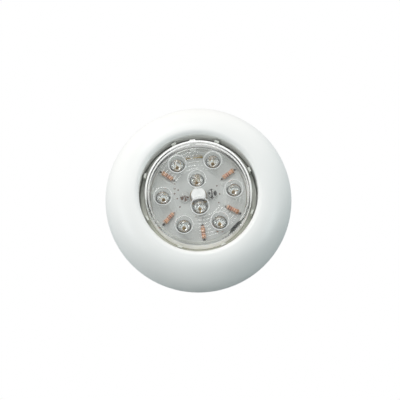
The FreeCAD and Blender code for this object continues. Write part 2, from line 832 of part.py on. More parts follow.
def rectifier_board():
    """Round board behind the bulkhead, screwed to its bosses."""
    holes = [rod_at(board_screw_hole_r, power_board_back_w - 1, power_board_front_w + 1, boss_ring_r, turn)
             for turn in boss_turns]
    holes += [rod(feed_wire_r, power_board_back_w - 1, power_board_front_w + 1, x, z)
              for x, z in feed_centres()]
    return without(rod(power_board_r, power_board_back_w, power_board_front_w), holes)


def board_screws():
    """Three screws that hold the rectifier board to the bosses."""
    one = screw(board_screw_head_r, 1.6, board_screw_r, board_screw_length, screw_recess)
    middles = [spot(boss_ring_r, turn, 0) for turn in boss_turns]
    return [moved(one, at.x, at.z, power_board_back_w) for at in middles]


def bridge_rectifier():
    """Round bridge rectifier on the rear of its board."""
    body = rod(rectifier_r, power_board_back_w - rectifier_height, power_board_back_w - 0.3, *rectifier_at)
    flat = Part.makeBox(2, rectifier_height + 2, 10,
                        Vector(rectifier_at[0] - rectifier_r - 1.2, -power_board_back_w, rectifier_at[1] - 5))
    return body.cut(flat)


def capacitor():
    """Electrolytic capacitor: can with a rolled groove near its base."""
    groove = Part.makeTorus(capacitor_r + 0.2, 0.6, Vector(0, 2.0, 0), FORWARD)
    can = turned((0, 0), (capacitor_r, 0), (capacitor_r, -capacitor_length + 0.6),
                 (capacitor_r - 0.6, -capacitor_length), (0, -capacitor_length)).cut(groove)
    return moved(can, capacitor_at[0], capacitor_at[1], power_board_back_w - 0.3)


def terminal_middles():
    """Centres of the terminal block's two screws, in x and z."""
    x = terminal_at[0] + terminal_screw_offset
    return [(x, terminal_at[1] + side * lead_spacing) for side in (-1, 1)]


def terminal_block():
    """Two-pole block that clamps the supply cores, its cable mouths facing the gland."""
    width, height, depth = terminal_size
    block = Part.makeBox(width, depth, height,
                         Vector(terminal_at[0] - width / 2, -power_board_back_w + 0.2,
                                terminal_at[1] - height / 2))
    back_w = power_board_back_w - 0.2 - depth
    cuts = []
    for x, z in terminal_middles():
        mouth_x = terminal_at[0] + terminal_mouth_offset
        cuts.append(rod(terminal_well_r, back_w - 1, back_w + terminal_well_depth, x, z))
        cuts.append(rod(terminal_mouth_r, back_w - 1, back_w + terminal_mouth_depth, mouth_x, z))
    return without(block, cuts)


def terminal_screws():
    """The two clamping screws of the terminal block."""
    back_w = power_board_back_w - 0.2 - terminal_size[2]
    head_r = terminal_well_r - 0.2
    shank_length = 1.6
    one = screw(head_r, 1.2, 1.2, shank_length, 0.6)
    seat_w = back_w + terminal_well_depth - shank_length - seat_gap
    return [moved(one, x, z, seat_w) for x, z in terminal_middles()]


# ---------------------------------------------------------------- rear cap and gland

def rear_cap():
    """Cap that closes the stem, with a spigot for its seal and a hole for the gland."""
    chamfer = 0.8
    blank = turned(
        (gland_thread_r + seat_gap, cap_back_w),
        (stem_r - chamfer, cap_back_w),
        (stem_r, cap_back_w + chamfer),
        (stem_r, stem_end_w),
        (cap_spigot_r, stem_end_w),
        (cap_spigot_r, stem_end_w + cap_spigot_length),
        (cap_spigot_inner_r, stem_end_w + cap_spigot_length),
        (cap_spigot_inner_r, stem_end_w),
        (gland_thread_r + seat_gap, stem_end_w))
    holes = [rod_at(cap_screw_r + 0.3, cap_back_w - 1, stem_end_w + 1, cap_screw_ring_r, turn)
             for turn in cap_screw_turns]
    holes += [cord_ring(cap_seal_r(), cap_seal_w(), cap_seal_cord_r + seat_gap)]
    return without(blank, holes)


def cap_seal_r():
    """Radius of the cap seal's centre line."""
    return stem_bore_r - seat_gap - cap_seal_cord_r


def cap_seal_w():
    """Place of the cap seal along the spigot."""
    return stem_end_w + cap_spigot_length / 2


def rear_cap_seal():
    """O-ring on the cap's spigot."""
    return cord_ring(cap_seal_r(), cap_seal_w(), cap_seal_cord_r)


def rear_cap_screws():
    """Four screws that hold the cap to the stem."""
    one = screw(cap_screw_head_r, 1.5, cap_screw_r, cap_screw_length, screw_recess)
    middles = [spot(cap_screw_ring_r, turn, 0) for turn in cap_screw_turns]
    return [moved(one, at.x, at.z, cap_back_w) for at in middles]


def gland_body():
    """Cable gland body: threaded both ways, with a hexagon and a pocket for its seal."""
    chamfer = gland_thread_chamfer
    pocket_w = gland_end_w + gland_seal_length + turning_gap
    inner_end_w = stem_end_w + gland_inner_length
    core = turned(
        (gland_bore_r, pocket_w),
        (gland_pocket_r, pocket_w),
        (gland_pocket_r, gland_end_w),
        (gland_thread_r - chamfer, gland_end_w),
        (gland_thread_r, gland_end_w + chamfer),
        (gland_thread_r, inner_end_w - chamfer),
        (gland_thread_r - chamfer, inner_end_w),
        (gland_bore_r, inner_end_w))
    collar = hexagon(gland_hex, gland_tail_w, gland_flange_w).cut(
        rod(gland_thread_r - 0.5, gland_tail_w - 1, gland_flange_w + 1))
    return joined(core, [collar])


def gland_gasket():
    """Flat gasket between the gland's hexagon and the rear cap."""
    return pipe(gland_hex / 2 - 0.4, gland_thread_r + seat_gap, gland_flange_w, cap_back_w)


def gland_locknut():
    """Thin nut that holds the gland body inside the rear cap."""
    front_w = stem_end_w + locknut_thickness
    return hexagon(gland_hex, stem_end_w, front_w).cut(
        rod(gland_thread_r + seat_gap, stem_end_w - 1, front_w + 1))


def gland_seal():
    """Rubber sleeve that the gland nut squeezes around the cable."""
    return pipe(gland_seal_r, cable_r, gland_end_w, gland_end_w + gland_seal_length)


def gland_washer():
    """Slip washer between the gland nut and the seal."""
    return pipe(gland_seal_r, cable_r + 0.4, gland_washer_w - gland_washer_thickness, gland_washer_w)


def gland_nut():
    """Domed gland nut, screwed over the gland body's tail."""
    front_w = gland_tail_w - gland_nut_gap
    mouth_r = gland_bore_r + 0.2
    corner_r = gland_hex / 2 + gland_nut_corner
    round_r = gland_nut_dome + 0.4
    back_w = gland_nut_shoulder_w - gland_nut_dome
    bore = turned(
        (0, front_w + 1),
        (gland_nut_bore_r, front_w + 1),
        (gland_nut_bore_r, gland_nut_shoulder_w),
        (mouth_r, gland_nut_shoulder_w),
        (mouth_r, back_w - 1),
        (0, back_w - 1))
    envelope = turned(
        (0, front_w),
        (corner_r - 0.6, front_w),
        (corner_r, front_w - 0.8),
        (corner_r, back_w + gland_nut_dome),
        arc(mouth_r + 2.2, back_w + round_r, round_r, 0, -90),
        (0, back_w))
    skirt = hexagon(gland_hex, back_w, front_w).common(envelope)
    return skirt.cut(bore)


# ---------------------------------------------------------------- write every node

save("bezel", bezel())
save("bezel_grip_ring", bezel_grip_ring())
save("lamp_body", lamp_body())
save("seat_gasket", seat_gasket())
save("lens", lens())
save("lens_seal", lens_seal())
save("lens_ring", lens_ring())
save("led_board", led_board())
save("center_post", center_post())
for number, (led_r, led_turn) in enumerate(led_places, start=1):
    save("led_%d" % number, moved(swung(diode(led_body_r, led_height, False), led_turn),
                                  spot(led_r, led_turn, 0).x, spot(led_r, led_turn, 0).z, led_base_w))
for number, (led_r, led_turn) in enumerate(pilot_places, start=1):
    save("pilot_led_%d" % number, moved(swung(diode(pilot_led_body_r, pilot_led_height, True), led_turn),
                                        spot(led_r, led_turn, 0).x, spot(led_r, led_turn, 0).z, led_base_w))
save("led_leads", *led_leads())
for number, (turn, tilt) in enumerate(zip(resistor_turns, resistor_tilts), start=1):
    save("resistor_%d" % number, placed_resistor(resistor_body(), turn, tilt))
save("resistor_leads", *[placed_resistor(resistor_lead(side), turn, tilt)
                         for turn, tilt in zip(resistor_turns, resistor_tilts) for side in (-1, 1)])
save("board_jumpers", *board_jumpers())
save("wire_grommet", wire_grommet())
save("feed_wires", *feed_wires())
save("rectifier_board", rectifier_board())
save("board_screws", *board_screws())
save("bridge_rectifier", bridge_rectifier())
save("capacitor", capacitor())
save("terminal_block", terminal_block())
save("terminal_screws", *terminal_screws())
save("rear_cap", rear_cap())
save("rear_cap_seal", rear_cap_seal())
save("rear_cap_screws", *rear_cap_screws())
save("gland_body", gland_body())
save("gland_gasket", gland_gasket())
save("gland_locknut", gland_locknut())
save("gland_seal", gland_seal())
save("gland_washer", gland_washer())
save("gland_nut", gland_nut())
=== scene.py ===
"""Underwater pool light: finishes, fine detail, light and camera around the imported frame.

The optical axis is Y and the lamp faces -Y. "Forward" below means towards -Y. Blender's places are
in metres, and the sizes of small parts are in millimetres.
"""
import json
import math

import bmesh
import bpy
from mathutils import Matrix, Vector


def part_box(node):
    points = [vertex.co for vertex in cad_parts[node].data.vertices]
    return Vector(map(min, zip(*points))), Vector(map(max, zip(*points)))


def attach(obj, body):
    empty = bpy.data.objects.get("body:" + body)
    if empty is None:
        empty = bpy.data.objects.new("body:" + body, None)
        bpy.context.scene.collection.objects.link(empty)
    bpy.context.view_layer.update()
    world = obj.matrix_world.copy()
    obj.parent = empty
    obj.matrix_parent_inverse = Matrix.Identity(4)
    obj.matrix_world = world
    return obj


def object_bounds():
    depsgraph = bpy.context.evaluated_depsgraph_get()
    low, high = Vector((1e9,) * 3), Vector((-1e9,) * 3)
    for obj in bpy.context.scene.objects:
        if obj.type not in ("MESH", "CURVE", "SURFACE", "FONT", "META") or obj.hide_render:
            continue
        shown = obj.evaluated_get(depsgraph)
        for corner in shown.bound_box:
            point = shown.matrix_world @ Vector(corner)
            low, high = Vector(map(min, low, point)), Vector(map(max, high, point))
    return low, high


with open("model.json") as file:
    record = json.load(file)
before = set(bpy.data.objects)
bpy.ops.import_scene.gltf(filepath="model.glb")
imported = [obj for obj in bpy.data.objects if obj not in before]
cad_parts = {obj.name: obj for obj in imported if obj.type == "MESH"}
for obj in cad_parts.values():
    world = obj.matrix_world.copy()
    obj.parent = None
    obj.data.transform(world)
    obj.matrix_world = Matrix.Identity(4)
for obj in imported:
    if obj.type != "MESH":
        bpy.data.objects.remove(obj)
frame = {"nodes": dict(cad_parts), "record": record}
cad_low, cad_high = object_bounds()
MM = 0.001


# ---------------------------------------------------------------- named values, in mm and degrees

# Lens. Heights are measured forward from its flat face, turns from +X towards +Z.
BEAD_R = 4.6
BEAD_HEIGHT = 0.4
LENS_WALL = 2.1
LENS_EDGE_R = 27.2
MAGNIFIER_R = 4.2
MAGNIFIER_BALL_R = 4.5
BULLSEYE_PAD_R = 5.05
OPTIC_RINGS = 7
OPTIC_RING_R = 12.65
OPTIC_RING_STEP = 1.72
SKIN = 0.02
SKIN_ROUND = 1.1
SKIN_DEPTH = 12.6
TAB_TURN = 96.4

# Strips of painted shade in the lens's side, the black one a painted reflection of the dark crescent:
# first turn, last turn, lower edge, upper edge, colour
STRIP_R = 27.08
STRIP_THICK = 0.04
PAINTED_SHADE_STRIPS = [
    (305.0, 329.0, -4.6, -1.6, "black"),
    (205.0, 272.0, -1.75, -1.3, "olive"),
    (280.0, 308.0, -1.75, -1.3, "olive"),
    (114.0, 164.0, -12.2, -8.8, "grey"),
    (14.0, 72.0, -12.2, -8.8, "grey"),
]

# Circuit boards: radii between which the solder mask lies
LIGHT_MASK = (4.5, 24.38)
POWER_MASK = (0.0, 19.4)
LAMINATE_LIGHT = (0.42, 0.33, 0.17)
LAMINATE_DARK = (0.25, 0.16, 0.07)

# Crescent of painted shade beside the flat of the light board, in the black rubber finish
WEDGE_TURN = 317.0
WEDGE_HALF_SPAN = 14.0
WEDGE_INNER_R = 24.15
WEDGE_OUTER_R = 24.75
WEDGE_RISE = 5.0

# Pads, a copper track and the painted shadows of the wire links on the light board
GRID = 2.54
PAD_COLUMN = (-12.2, 1.4)
PAD_COLUMN_ROWS = 3
PAD_R = 0.75
PILOT_PAD_R = 0.5
PILOT_PAD_REACH = 3.9
PILOT_PAD_TURN = 24
DIODE_TRACE_R = 3.9
DIODE_TRACE_START = 245.0
DIODE_TRACE_SPAN = 55.0
DIODE_TRACE_WIDTH = 0.5
LINK_SHADOW_REACH = 1.2
LINK_SHADOW_TRIM = 0.4
LINK_SHADOW_WIDTH = 0.45

# Diodes. Heights are measured forward from the base.
DIODES = range(1, 9)
CUP_FLOOR = 5.6
CUP_R = 2.14
FRAME_THICK = 0.55

# Leaves inside the two short clear parts: offset, half width, top
PILOT_LEAVES = {
    1: [(-1.05, 1.1, 1.25), (0.0, 1.6, 1.35), (1.05, 1.4, 1.35)],
    2: [(0.1, 0.8, 1.4), (-0.8, 0.5, 1.3), (0.9, 0.4, 1.2)],
}

# Resistors: lacquer, and bands as start, width and colour in shares of the length
LACQUER = (0.76, 0.42, 0.25)
BAND_BROWN = (0.10, 0.02, 0.01)
BAND_RED = (0.26, 0.03, 0.015)
BAND_GOLD = (0.42, 0.17, 0.05)
BANDS = [
    (0.12, 0.08, BAND_BROWN),
    (0.31, 0.07, BAND_RED),
    (0.49, 0.07, BAND_BROWN),
    (0.67, 0.07, BAND_RED),
    (0.85, 0.08, BAND_GOLD),
]

# Edges that turn by more than this look sharp
SHARP_EDGE = 40

# Camera, floor and light, in metres and degrees
CAMERA_ELEVATION = -11.5
CAMERA_DISTANCE = 1.0
CAMERA_AIM = (0.0008, 0, 0.0011)
SENSOR_WIDTH = 36.0
FRAME_SHARE = 0.4625
FLOOR_HALF = 0.18
FLOOR_DROP = 0.35
SKY_TOWARD = (-0.35, -0.3, 0.95)
SKY_STRENGTH = 1.3
SKY_DARK = (0.02, 0.05, 0.052, 1)
SKY_MIDDLE = (0.455, 0.509, 0.518, 1)
SKY_BRIGHT = (0.74, 0.725, 0.71, 1)

# Lamps, which all face the origin: name, place, width and height, watts, colour
LAMPS = [
    ("key", (-0.42, -1.2, 0.95), (0.8, 0.6), 7.0, (1, 1, 1)),
    ("side", (-1.2, -0.4, -0.3), (0.6, 0.6), 2.5, (0.96, 0.99, 1)),
    ("fill", (1.2, -0.4, -0.3), (0.6, 0.6), 3.3, (0.92, 0.99, 1)),
]


# ---------------------------------------------------------------- places read from the frame

def islands(node):
    """Vertex positions of each separate solid in a node."""
    mesh = bmesh.new()
    mesh.from_mesh(frame["nodes"][node].data)
    bmesh.ops.remove_doubles(mesh, verts=mesh.verts, dist=1e-6)
    left = set(mesh.verts)
    groups = []
    while left:
        queue = [left.pop()]
        group = []
        while queue:
            vert = queue.pop()
            group.append(vert.co.copy())
            for edge in vert.link_edges:
                other = edge.other_vert(vert)
                if other in left:
                    left.remove(other)
                    queue.append(other)
        groups.append(group)
    mesh.free()
    return sorted(groups, key=lambda g: (round(g[0].x, 5), round(g[0].z, 5)))


def axis_of(node):
    """A round part's axis on the board (x, z), its turn about the optical axis, and its base y."""
    low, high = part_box(node)
    x = (low.x + high.x) / 2
    z = (low.z + high.z) / 2
    return x, z, math.degrees(math.atan2(z, x)), high.y


lens_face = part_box("lens")[0].y + BEAD_HEIGHT * MM
lens_inner_face = lens_face + LENS_WALL * MM
board_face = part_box("led_board")[0].y
diode_axes = [axis_of("led_%d" % number)[:2] for number in DIODES]


# ---------------------------------------------------------------- materials

class Finish:
    """A Principled material and short ways to drive its sockets from textures."""

    def __init__(self, name, colour, roughness, **sockets):
        self.material = bpy.data.materials.new(name)
        self.material.use_nodes = True
        self.tree = self.material.node_tree
        self.shader = self.tree.nodes["Principled BSDF"]
        self.shader.inputs["Base Color"].default_value = (*colour, 1.0)
        self.shader.inputs["Roughness"].default_value = roughness
        for socket, value in sockets.items():
            self.shader.inputs[socket.replace("_", " ")].default_value = value
        self.place = self.node("ShaderNodeTexCoord").outputs["Object"]
        self.relief = None

    def node(self, kind, **values):
        """A new node with its attributes and input defaults set."""
        node = self.tree.nodes.new(kind)
        for key, value in values.items():
            if key in node.inputs:
                node.inputs[key].default_value = value
            else:
                setattr(node, key, value)
        return node

    def link(self, source, target):
        """Feeds a node's output into another node's input."""
        self.tree.links.new(source, target)

    def noise(self, size_mm, detail=3.0, stretch=(1, 1, 1)):
        """Fractal noise with features of about size_mm."""
        mapping = self.node("ShaderNodeMapping")
        mapping.inputs["Scale"].default_value = [s / (size_mm * MM) for s in stretch]
        self.link(self.place, mapping.inputs["Vector"])
        noise = self.node("ShaderNodeTexNoise", Scale=1.0, Detail=detail, Roughness=0.55)
        self.link(mapping.outputs["Vector"], noise.inputs["Vector"])
        return noise.outputs["Fac"]

    def ranged(self, source, low, high, from_low=0.3, from_high=0.7):
        """The source, remapped to run from low to high."""
        remap = self.node("ShaderNodeMapRange", clamp=True)
        for socket, value in zip(("From Min", "From Max", "To Min", "To Max"),
                                 (from_low, from_high, low, high)):
            remap.inputs[socket].default_value = value
        self.link(source, remap.inputs["Value"])
        return remap.outputs["Result"]

    def vary_roughness(self, source, low, high):
        """Roughness that runs from low to high with the source."""
        self.link(self.ranged(source, low, high), self.shader.inputs["Roughness"])

    def vary_colour(self, source, first, second, low=0.3, high=0.7):
        """Base colour that runs from first to second with the source."""
        ramp = self.node("ShaderNodeValToRGB")
        ramp.color_ramp.elements[0].position = low
        ramp.color_ramp.elements[0].color = (*first, 1.0)
        ramp.color_ramp.elements[1].position = high
        ramp.color_ramp.elements[1].color = (*second, 1.0)
        self.link(source, ramp.inputs["Fac"])
        self.link(ramp.outputs["Color"], self.shader.inputs["Base Color"])
        return ramp

    def bump(self, source, depth_mm, strength=1.0):
        """Adds relief of about depth_mm; several calls stack."""
        bump = self.node("ShaderNodeBump", Strength=strength, Distance=depth_mm * MM)
        self.link(source, bump.inputs["Height"])
        if self.relief is not None:
            self.link(self.relief, bump.inputs["Normal"])
        self.relief = bump.outputs["Normal"]
        self.link(self.relief, self.shader.inputs["Normal"])

    def from_axis(self):
        """Distance from the optical axis, in millimetres."""
        flat = self.node("ShaderNodeVectorMath", operation="MULTIPLY")
        flat.inputs[1].default_value = (1 / MM, 0, 1 / MM)
        length = self.node("ShaderNodeVectorMath", operation="LENGTH")
        self.link(self.place, flat.inputs[0])
        self.link(flat.outputs["Vector"], length.inputs[0])
        return length.outputs["Value"]

    def larger(self, first, second):
        """The larger of two values."""
        most = self.node("ShaderNodeMath", operation="MAXIMUM")
        self.link(first, most.inputs[0])
        self.link(second, most.inputs[1])
        return most.outputs["Value"]

    def times(self, first, second):
        """The product of two values."""
        product = self.node("ShaderNodeMath", operation="MULTIPLY")
        self.link(first, product.inputs[0])
        self.link(second, product.inputs[1])
        return product.outputs["Value"]

    def sagging(self, centres, reach_mm, ball_mm):
        """Height in mm that falls away from each centre (x, z) like a ball, as far as reach_mm."""
        nearest = None
        for x, z in centres:
            shift = self.node("ShaderNodeVectorMath", operation="SUBTRACT")
            shift.inputs[1].default_value = (x, 0, z)
            flat = self.node("ShaderNodeVectorMath", operation="MULTIPLY")
            flat.inputs[1].default_value = (1 / MM, 0, 1 / MM)
            length = self.node("ShaderNodeVectorMath", operation="LENGTH")
            self.link(self.place, shift.inputs[0])
            self.link(shift.outputs["Vector"], flat.inputs[0])
            self.link(flat.outputs["Vector"], length.inputs[0])
            least = self.node("ShaderNodeMath", operation="MINIMUM")
            least.inputs[1].default_value = reach_mm
            self.link(length.outputs["Value"], least.inputs[0])
            if nearest is not None:
                self.link(nearest, least.inputs[1])
            nearest = least.outputs["Value"]
        sag = self.node("ShaderNodeMath", operation="MULTIPLY")
        sag.inputs[1].default_value = -0.5 / ball_mm
        self.link(self.times(nearest, nearest), sag.inputs[0])
        return sag.outputs["Value"]

    def facing_axis(self):
        """0 on faces that look along the optical axis, 1 on faces that look sideways."""
        normal = self.node("ShaderNodeNewGeometry").outputs["Normal"]
        split = self.node("ShaderNodeSeparateXYZ")
        self.link(normal, split.inputs["Vector"])
        size = self.node("ShaderNodeMath", operation="ABSOLUTE")
        self.link(split.outputs["Y"], size.inputs[0])
        return self.ranged(size.outputs["Value"], 1.0, 0.0, 0.4, 0.6)


def moulded_plastic(name, light, dark, rough_low, rough_high, grain_mm=0.5, relief_mm=0.004):
    """Injection-moulded plastic: faint flow marks in the colour, fine skin, slight waviness."""
    finish = Finish(name, light, (rough_low + rough_high) / 2)
    finish.vary_colour(finish.noise(26, 4.0), light, dark)
    finish.vary_roughness(finish.noise(7, 6.0), rough_low, rough_high)
    finish.bump(finish.noise(grain_mm, 2.0), relief_mm)
    finish.bump(finish.noise(30, 1.0), relief_mm * 12)
    return finish.material


def rubber(name, dark, light, rough_low, rough_high):
    """Moulded rubber: matt, slightly blotchy, with a fine skin."""
    finish = Finish(name, dark, rough_high)
    finish.vary_colour(finish.noise(3, 5.0), dark, light)
    finish.vary_roughness(finish.noise(1.5, 5.0), rough_low, rough_high)
    finish.bump(finish.noise(0.25, 3.0), 0.01)
    return finish.material


def clear_plastic(name, tint, ior, rough_high, relief_mm, shade=0.95, magnifiers=()):
    """Clear moulding: nearly smooth, a little hazy and wavy, and it lets lamp light through.

    The shading normal bends like a ball's over each magnifier centre (x, z).
    """
    finish = Finish(name, tint, 0.0, Transmission_Weight=1.0, IOR=ior)
    finish.vary_roughness(finish.noise(9, 4.0), 0.0, rough_high)
    finish.bump(finish.noise(8, 1.0), relief_mm)
    if magnifiers:
        finish.bump(finish.sagging(magnifiers, MAGNIFIER_R, MAGNIFIER_BALL_R), 1.0)
    through = finish.node("ShaderNodeBsdfTransparent")
    through.inputs["Color"].default_value = (shade, shade, shade, 1.0)
    path = finish.node("ShaderNodeLightPath")
    mix = finish.node("ShaderNodeMixShader")
    finish.link(path.outputs["Is Shadow Ray"], mix.inputs["Fac"])
    finish.link(finish.shader.outputs["BSDF"], mix.inputs[1])
    finish.link(through.outputs["BSDF"], mix.inputs[2])
    finish.link(mix.outputs["Shader"], finish.tree.nodes["Material Output"].inputs["Surface"])
    return finish.material


def frosted_with_painted_glow(name, glow_inside, glow_outside):
    """Frosted side of the lens, with painted light. It glows inwards at the top and outwards at the
    bottom, away from the front edge, as a painted glow, and its inner side is painted darker towards the
    bottom as painted shade."""
    inner_r = LENS_EDGE_R - 0.08
    outer_r = LENS_EDGE_R - 0.02
    bottom = -20 * MM
    top = 20 * MM
    near_face = -24 * MM
    near_back = -13 * MM
    finish = Finish(name, (0.90, 0.91, 0.87), 0.5, Subsurface_Weight=1.0, Subsurface_Scale=0.002,
                    Subsurface_Radius=(1, 1, 1))
    pale = finish.vary_colour(finish.noise(6, 4.0), (0.86, 0.87, 0.82), (0.92, 0.93, 0.88))
    finish.vary_roughness(finish.noise(3, 5.0), 0.4, 0.6)
    finish.bump(finish.noise(0.5, 2.0), 0.006)
    split = finish.node("ShaderNodeSeparateXYZ")
    finish.link(finish.place, split.inputs["Vector"])
    height = split.outputs["Z"]
    reach = finish.from_axis()

    # painted shade: the inner side turns darker towards the bottom
    shaded = finish.node("ShaderNodeMix", data_type="RGBA")
    shaded.inputs["B"].default_value = (0.50, 0.52, 0.50, 1)
    finish.link(pale.outputs["Color"], shaded.inputs["A"])
    inner = finish.ranged(reach, 1.0, 0.0, inner_r, outer_r)
    lower = finish.ranged(height, 1.0, 0.0, bottom, 0.0)
    finish.link(finish.times(inner, lower), shaded.inputs["Factor"])
    finish.link(shaded.outputs["Result"], finish.shader.inputs["Base Color"])

    # colour of the painted glow, warm at the bottom and white at the top
    tint = finish.node("ShaderNodeValToRGB")
    tint.color_ramp.elements[0].color = (1.0, 0.98, 0.82, 1)
    tint.color_ramp.elements[1].color = (1.0, 1.0, 1.0, 1)
    finish.link(finish.ranged(height, 0.0, 1.0, bottom, top), tint.inputs["Fac"])
    finish.link(tint.outputs["Color"], finish.shader.inputs["Emission Color"])

    # painted glow: the inner side glows at the top, the outer side at the bottom away from the front
    # edge, and faintly at the top
    inwards = finish.times(finish.ranged(reach, glow_inside, 0.0, inner_r, outer_r),
                           finish.ranged(height, 0.0, 1.0, -8 * MM, top))
    below = finish.times(finish.ranged(reach, 0.0, glow_outside, inner_r, outer_r),
                         finish.ranged(height, 1.0, 0.0, bottom, 6 * MM))
    below = finish.times(below, finish.ranged(split.outputs["Y"], 0.25, 1.2, near_face, near_back))
    above = finish.times(finish.ranged(reach, 0.0, glow_outside * 0.3, inner_r, outer_r),
                         finish.ranged(height, 0.0, 1.0, 0.0, top))
    outwards = finish.larger(below, above)
    finish.link(finish.larger(inwards, outwards), finish.shader.inputs["Emission Strength"])
    return finish.material


def bare_metal(name, light, dark, rough_low, rough_high, brushed=(1, 1, 1)):
    """Metal: a little tarnish in the colour, fine scratches along the brushed direction."""
    finish = Finish(name, light, rough_low, Metallic=1.0)
    finish.vary_colour(finish.noise(1.2, 4.0), dark, light)
    finish.vary_roughness(finish.noise(0.5, 4.0, brushed), rough_low, rough_high)
    finish.bump(finish.noise(0.12, 2.0, brushed), 0.002)
    return finish.material


def circuit_board(name, mask_light, mask_dark, mask_span):
    """Solder mask between two radii in mm, bare glass-fibre laminate at the rims and cut edges."""
    mask_from, mask_to = mask_span
    finish = Finish(name, mask_light, 0.35, Coat_Weight=0.25, Coat_Roughness=0.2)
    mask = finish.vary_colour(finish.noise(6, 5.0), mask_dark, mask_light)
    core = finish.node("ShaderNodeValToRGB")
    core.color_ramp.elements[0].color = (*LAMINATE_DARK, 1.0)
    core.color_ramp.elements[1].color = (*LAMINATE_LIGHT, 1.0)
    finish.link(finish.noise(0.5, 4.0, (1, 6, 1)), core.inputs["Fac"])
    mix = finish.node("ShaderNodeMix", data_type="RGBA")
    outside = finish.ranged(finish.from_axis(), 0.0, 1.0, mask_to, mask_to + 0.1)
    inside = finish.ranged(finish.from_axis(), 1.0, 0.0, mask_from - 0.1, mask_from)
    bare = finish.larger(finish.larger(outside, inside), finish.facing_axis())
    finish.link(bare, mix.inputs["Factor"])
    finish.link(mask.outputs["Color"], mix.inputs["A"])
    finish.link(core.outputs["Color"], mix.inputs["B"])
    finish.link(mix.outputs["Result"], finish.shader.inputs["Base Color"])
    finish.vary_roughness(finish.noise(2.5, 4.0), 0.28, 0.5)
    finish.bump(finish.noise(0.6, 3.0), 0.01)
    return finish.material


def banded_lacquer(node):
    """Resistor lacquer with colour bands across its length, which runs out from the optical axis."""
    low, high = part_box(node)
    middle = (low + high) / 2
    points = [v.co - middle for v in frame["nodes"][node].data.vertices]
    far = max(points, key=lambda p: p.x * p.x + p.z * p.z)
    flat = [Vector((p.x, 0, p.z)) for p in points]
    along = sum((p if p.dot(far) > 0 else -p for p in flat), Vector()).normalized()
    if along.dot(middle) < 0:
        along = -along
    half = max(p.dot(along) for p in flat)
    finish = Finish("lacquer_" + node, LACQUER, 0.4)
    dot = finish.node("ShaderNodeVectorMath", operation="DOT_PRODUCT")
    dot.inputs[1].default_value = along / (2 * half)
    shift = finish.node("ShaderNodeVectorMath", operation="SUBTRACT")
    shift.inputs[1].default_value = middle
    finish.link(finish.place, shift.inputs[0])
    finish.link(shift.outputs["Vector"], dot.inputs[0])
    run = finish.ranged(dot.outputs["Value"], 0.0, 1.0, -0.5, 0.5)
    wobble = finish.node("ShaderNodeMath", operation="MULTIPLY_ADD")
    wobble.inputs[1].default_value = 0.02
    finish.link(finish.noise(0.5, 2.0), wobble.inputs[0])
    finish.link(run, wobble.inputs[2])
    ramp = finish.node("ShaderNodeValToRGB")
    ramp.color_ramp.interpolation = "CONSTANT"
    elements = ramp.color_ramp.elements
    elements.remove(elements[1])
    elements[0].position = 0.0
    elements[0].color = (*LACQUER, 1.0)
    for start, width, colour in BANDS:
        elements.new(start).color = (*colour, 1.0)
        elements.new(start + width).color = (*LACQUER, 1.0)
    finish.link(wobble.outputs["Value"], ramp.inputs["Fac"])
    finish.link(ramp.outputs["Color"], finish.shader.inputs["Base Color"])
    finish.vary_roughness(finish.noise(1.0, 3.0), 0.22, 0.42)
    finish.bump(finish.noise(0.8, 2.0), 0.03)
    return finish.material


trim_white = moulded_plastic("trim_white", (0.87, 0.87, 0.86), (0.84, 0.845, 0.835), 0.3, 0.4)
post_white = moulded_plastic("post_white", (0.95, 0.95, 0.945), (0.92, 0.92, 0.915), 0.3, 0.4)
body_white = moulded_plastic("body_white", (0.82, 0.83, 0.81), (0.78, 0.79, 0.77), 0.3, 0.42,
                             grain_mm=0.35, relief_mm=0.006)
ring_white = moulded_plastic("ring_white", (0.80, 0.81, 0.77), (0.75, 0.77, 0.72), 0.3, 0.42,
                             grain_mm=0.35, relief_mm=0.006)
gland_grey = moulded_plastic("gland_grey", (0.66, 0.67, 0.66), (0.6, 0.61, 0.6), 0.38, 0.52,
                             grain_mm=0.3, relief_mm=0.01)
terminal_green = moulded_plastic("terminal_green", (0.02, 0.2, 0.07), (0.015, 0.16, 0.055), 0.4, 0.55)
sleeve_blue = moulded_plastic("sleeve_blue", (0.02, 0.03, 0.09), (0.015, 0.022, 0.07), 0.25, 0.4)
compound_black = moulded_plastic("compound_black", (0.02, 0.02, 0.022), (0.012, 0.012, 0.014), 0.45, 0.6,
                                 grain_mm=0.2, relief_mm=0.01)
wire_white = moulded_plastic("wire_white", (0.75, 0.75, 0.73), (0.68, 0.68, 0.66), 0.4, 0.55)
seal_black = rubber("seal_black", (0.012, 0.012, 0.014), (0.035, 0.035, 0.037), 0.45, 0.75)
seal_white = rubber("seal_white", (0.70, 0.72, 0.69), (0.78, 0.79, 0.77), 0.35, 0.6)
lens_clear = clear_plastic("lens_clear", (0.99, 0.995, 0.99), 1.5, 0.03, 0.004,
                           magnifiers=diode_axes)
epoxy_clear = clear_plastic("epoxy_clear", (0.99, 0.995, 0.99), 1.53, 0.03, 0.002)
tinned = bare_metal("tinned", (0.62, 0.62, 0.60), (0.42, 0.42, 0.40), 0.22, 0.42)
# resistor leads, darkened by painted shade and a painted dark reflection
lead_wire_painted_shade = bare_metal("lead_wire_painted_shade", (0.16, 0.15, 0.13), (0.06, 0.055, 0.05), 0.35, 0.55)
link_wire = bare_metal("link_wire", (0.46, 0.34, 0.09), (0.28, 0.19, 0.05), 0.3, 0.5)
stainless = bare_metal("stainless", (0.66, 0.66, 0.67), (0.55, 0.55, 0.56), 0.2, 0.34, (1, 12, 1))
ring_frost = clear_plastic("ring_frost", (0.97, 0.98, 0.97), 1.5, 0.35, 0.004, 0.85)
silver = bare_metal("diode_silver", (0.92, 0.92, 0.91), (0.8, 0.8, 0.79), 0.14, 0.3)
